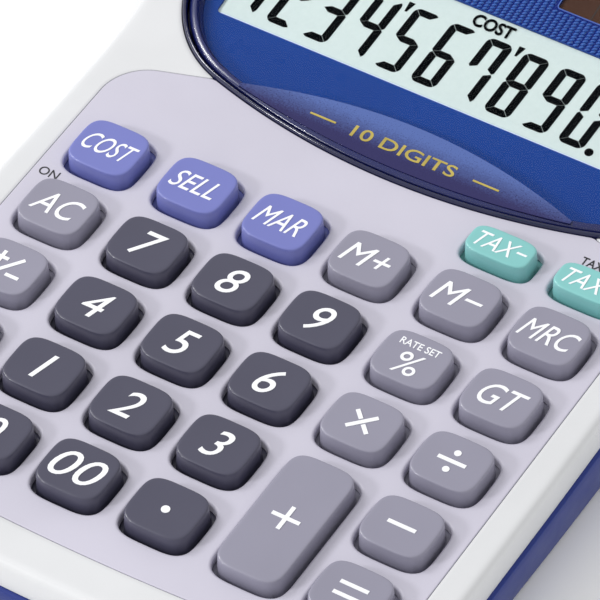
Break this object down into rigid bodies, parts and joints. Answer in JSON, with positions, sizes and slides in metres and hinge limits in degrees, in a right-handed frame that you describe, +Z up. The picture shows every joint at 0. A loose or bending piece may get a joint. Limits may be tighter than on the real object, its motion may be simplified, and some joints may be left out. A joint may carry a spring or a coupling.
{
  "type": "desk calculator",
  "caption": "Sealed desk calculator with a tilted solar display, sprung keys and a screwed two-part case on rubber feet.",
  "frame": {"origin": "on the table under the centre of the case", "axes": "+X to the right of the user, +Y from the user to the display, +Z up"},
  "size_m": [0.1084, 0.1686, 0.0334],
  "materials": {
    "white_shell": "satin moulded plastic",
    "blue_shell": "fine moulded texture",
    "face_panel": "fine matt",
    "dark_blue_rim": "gloss",
    "clear_window": "polished clear acrylic",
    "blue_backing": "printed flat below the screen, knurled above it",
    "crescent_metal": "fine sparkle, graded from blue to indigo",
    "lcd_face": "satin film over glass",
    "lcd_foil": "satin",
    "solar_brown": "amorphous cell under glass",
    "dark_key": "satin",
    "grey_key": "satin",
    "blue_key": "satin",
    "green_key": "satin",
    "key_mat_rubber": "matt silicone",
    "dark_rubber": "matt",
    "inner_plastic": "plain moulded",
    "circuit_green": "solder mask",
    "chip_black": "potting resin",
    "component_tan": "ceramic body",
    "ribbon_film": "polyimide film",
    "red_wire": "insulation",
    "black_wire": "insulation",
    "zinc_screw": "zinc plated",
    "cell_steel": "plated",
    "contact_brass": "plated spring strip"
  },
  "bodies": {
    "case": {"upper_case": "white_shell", "lower_case": "blue_shell", "key_panel": "face_panel", "case_seal": "dark_rubber", "case_screws": "zinc_screw", "rubber_feet": "dark_rubber", "display_frame": "dark_blue_rim", "display_window": "clear_window", "display_backing": "blue_backing", "crescent_trim": "crescent_metal", "window_gasket": "dark_rubber", "lcd_glass": "lcd_face", "lcd_reflector": "lcd_foil", "lcd_holder": "inner_plastic", "solar_cell": "solar_brown", "display_ribbon": "ribbon_film", "solar_leads": "red_wire", "rubber_key_mat": "key_mat_rubber", "main_board": "circuit_green", "controller_chip": "chip_black", "board_components": "component_tan", "board_screws": "zinc_screw", "button_cell": "cell_steel", "battery_contact_positive": "contact_brass", "battery_contact_negative": "contact_brass", "battery_leads": "black_wire", "battery_cover": "blue_shell", "battery_cover_seal": "dark_rubber", "battery_cover_screws": "zinc_screw"},
    "key_cost": {"key_cost": "blue_key"},
    "key_sell": {"key_sell": "blue_key"},
    "key_mar": {"key_mar": "blue_key"},
    "key_memory_plus": {"key_memory_plus": "grey_key"},
    "key_memory_minus": {"key_memory_minus": "grey_key"},
    "key_memory_recall": {"key_memory_recall": "grey_key"},
    "key_all_clear": {"key_all_clear": "grey_key"},
    "key_7": {"key_7": "dark_key"},
    "key_8": {"key_8": "dark_key"},
    "key_9": {"key_9": "dark_key"},
    "key_percent": {"key_percent": "grey_key"},
    "key_grand_total": {"key_grand_total": "grey_key"},
    "key_sign_change": {"key_sign_change": "grey_key"},
    "key_4": {"key_4": "dark_key"},
    "key_5": {"key_5": "dark_key"},
    "key_6": {"key_6": "dark_key"},
    "key_multiply": {"key_multiply": "grey_key"},
    "key_divide": {"key_divide": "grey_key"},
    "key_backspace": {"key_backspace": "grey_key"},
    "key_1": {"key_1": "dark_key"},
    "key_2": {"key_2": "dark_key"},
    "key_3": {"key_3": "dark_key"},
    "key_plus": {"key_plus": "grey_key"},
    "key_minus": {"key_minus": "grey_key"},
    "key_clear": {"key_clear": "grey_key"},
    "key_0": {"key_0": "dark_key"},
    "key_double_zero": {"key_double_zero": "dark_key"},
    "key_decimal": {"key_decimal": "dark_key"},
    "key_equals": {"key_equals": "grey_key"},
    "key_tax_minus": {"key_tax_minus": "green_key"},
    "key_tax_plus": {"key_tax_plus": "green_key"}
  },
  "joints": [
    {"name": "key_cost_press", "type": "slide", "parent": "case", "child": "key_cost", "axis": [0, -0.0523, 0.9986], "range_m": [-0.0015, 0], "stiffness_N_per_m": 300, "springref_m": 0.001},
    {"name": "key_sell_press", "type": "slide", "parent": "case", "child": "key_sell", "axis": [0, -0.0523, 0.9986], "range_m": [-0.0015, 0], "stiffness_N_per_m": 300, "springref_m": 0.001},
    {"name": "key_mar_press", "type": "slide", "parent": "case", "child": "key_mar", "axis": [0, -0.0523, 0.9986], "range_m": [-0.0015, 0], "stiffness_N_per_m": 300, "springref_m": 0.001},
    {"name": "key_memory_plus_press", "type": "slide", "parent": "case", "child": "key_memory_plus", "axis": [0, -0.0523, 0.9986], "range_m": [-0.0015, 0], "stiffness_N_per_m": 300, "springref_m": 0.001},
    {"name": "key_memory_minus_press", "type": "slide", "parent": "case", "child": "key_memory_minus", "axis": [0, -0.0523, 0.9986], "range_m": [-0.0015, 0], "stiffness_N_per_m": 300, "springref_m": 0.001},
    {"name": "key_memory_recall_press", "type": "slide", "parent": "case", "child": "key_memory_recall", "axis": [0, -0.0523, 0.9986], "range_m": [-0.0015, 0], "stiffness_N_per_m": 300, "springref_m": 0.001},
    {"name": "key_all_clear_press", "type": "slide", "parent": "case", "child": "key_all_clear", "axis": [0, -0.0523, 0.9986], "range_m": [-0.0015, 0], "stiffness_N_per_m": 300, "springref_m": 0.001},
    {"name": "key_7_press", "type": "slide", "parent": "case", "child": "key_7", "axis": [0, -0.0523, 0.9986], "range_m": [-0.0015, 0], "stiffness_N_per_m": 300, "springref_m": 0.001},
    {"name": "key_8_press", "type": "slide", "parent": "case", "child": "key_8", "axis": [0, -0.0523, 0.9986], "range_m": [-0.0015, 0], "stiffness_N_per_m": 300, "springref_m": 0.001},
    {"name": "key_9_press", "type": "slide", "parent": "case", "child": "key_9", "axis": [0, -0.0523, 0.9986], "range_m": [-0.0015, 0], "stiffness_N_per_m": 300, "springref_m": 0.001},
    {"name": "key_percent_press", "type": "slide", "parent": "case", "child": "key_percent", "axis": [0, -0.0523, 0.9986], "range_m": [-0.0015, 0], "stiffness_N_per_m": 300, "springref_m": 0.001},
    {"name": "key_grand_total_press", "type": "slide", "parent": "case", "child": "key_grand_total", "axis": [0, -0.0523, 0.9986], "range_m": [-0.0015, 0], "stiffness_N_per_m": 300, "springref_m": 0.001},
    {"name": "key_sign_change_press", "type": "slide", "parent": "case", "child": "key_sign_change", "axis": [0, -0.0523, 0.9986], "range_m": [-0.0015, 0], "stiffness_N_per_m": 300, "springref_m": 0.001},
    {"name": "key_4_press", "type": "slide", "parent": "case", "child": "key_4", "axis": [0, -0.0523, 0.9986], "range_m": [-0.0015, 0], "stiffness_N_per_m": 300, "springref_m": 0.001},
    {"name": "key_5_press", "type": "slide", "parent": "case", "child": "key_5", "axis": [0, -0.0523, 0.9986], "range_m": [-0.0015, 0], "stiffness_N_per_m": 300, "springref_m": 0.001},
    {"name": "key_6_press", "type": "slide", "parent": "case", "child": "key_6", "axis": [0, -0.0523, 0.9986], "range_m": [-0.0015, 0], "stiffness_N_per_m": 300, "springref_m": 0.001},
    {"name": "key_multiply_press", "type": "slide", "parent": "case", "child": "key_multiply", "axis": [0, -0.0523, 0.9986], "range_m": [-0.0015, 0], "stiffness_N_per_m": 300, "springref_m": 0.001},
    {"name": "key_divide_press", "type": "slide", "parent": "case", "child": "key_divide", "axis": [0, -0.0523, 0.9986], "range_m": [-0.0015, 0], "stiffness_N_per_m": 300, "springref_m": 0.001},
    {"name": "key_backspace_press", "type": "slide", "parent": "case", "child": "key_backspace", "axis": [0, -0.0523, 0.9986], "range_m": [-0.0015, 0], "stiffness_N_per_m": 300, "springref_m": 0.001},
    {"name": "key_1_press", "type": "slide", "parent": "case", "child": "key_1", "axis": [0, -0.0523, 0.9986], "range_m": [-0.0015, 0], "stiffness_N_per_m": 300, "springref_m": 0.001},
    {"name": "key_2_press", "type": "slide", "parent": "case", "child": "key_2", "axis": [0, -0.0523, 0.9986], "range_m": [-0.0015, 0], "stiffness_N_per_m": 300, "springref_m": 0.001},
    {"name": "key_3_press", "type": "slide", "parent": "case", "child": "key_3", "axis": [0, -0.0523, 0.9986], "range_m": [-0.0015, 0], "stiffness_N_per_m": 300, "springref_m": 0.001},
    {"name": "key_plus_press", "type": "slide", "parent": "case", "child": "key_plus", "axis": [0, -0.0523, 0.9986], "range_m": [-0.0015, 0], "stiffness_N_per_m": 450, "springref_m": 0.001},
    {"name": "key_minus_press", "type": "slide", "parent": "case", "child": "key_minus", "axis": [0, -0.0523, 0.9986], "range_m": [-0.0015, 0], "stiffness_N_per_m": 300, "springref_m": 0.001},
    {"name": "key_clear_press", "type": "slide", "parent": "case", "child": "key_clear", "axis": [0, -0.0523, 0.9986], "range_m": [-0.0015, 0], "stiffness_N_per_m": 300, "springref_m": 0.001},
    {"name": "key_0_press", "type": "slide", "parent": "case", "child": "key_0", "axis": [0, -0.0523, 0.9986], "range_m": [-0.0015, 0], "stiffness_N_per_m": 300, "springref_m": 0.001},
    {"name": "key_double_zero_press", "type": "slide", "parent": "case", "child": "key_double_zero", "axis": [0, -0.0523, 0.9986], "range_m": [-0.0015, 0], "stiffness_N_per_m": 300, "springref_m": 0.001},
    {"name": "key_decimal_press", "type": "slide", "parent": "case", "child": "key_decimal", "axis": [0, -0.0523, 0.9986], "range_m": [-0.0015, 0], "stiffness_N_per_m": 300, "springref_m": 0.001},
    {"name": "key_equals_press", "type": "slide", "parent": "case", "child": "key_equals", "axis": [0, -0.0523, 0.9986], "range_m": [-0.0015, 0], "stiffness_N_per_m": 300, "springref_m": 0.001},
    {"name": "key_tax_minus_press", "type": "slide", "parent": "case", "child": "key_tax_minus", "axis": [0, -0.0523, 0.9986], "range_m": [-0.0015, 0], "stiffness_N_per_m": 300, "springref_m": 0.001},
    {"name": "key_tax_plus_press", "type": "slide", "parent": "case", "child": "key_tax_plus", "axis": [0, -0.0523, 0.9986], "range_m": [-0.0015, 0], "stiffness_N_per_m": 300, "springref_m": 0.001}
  ]
}
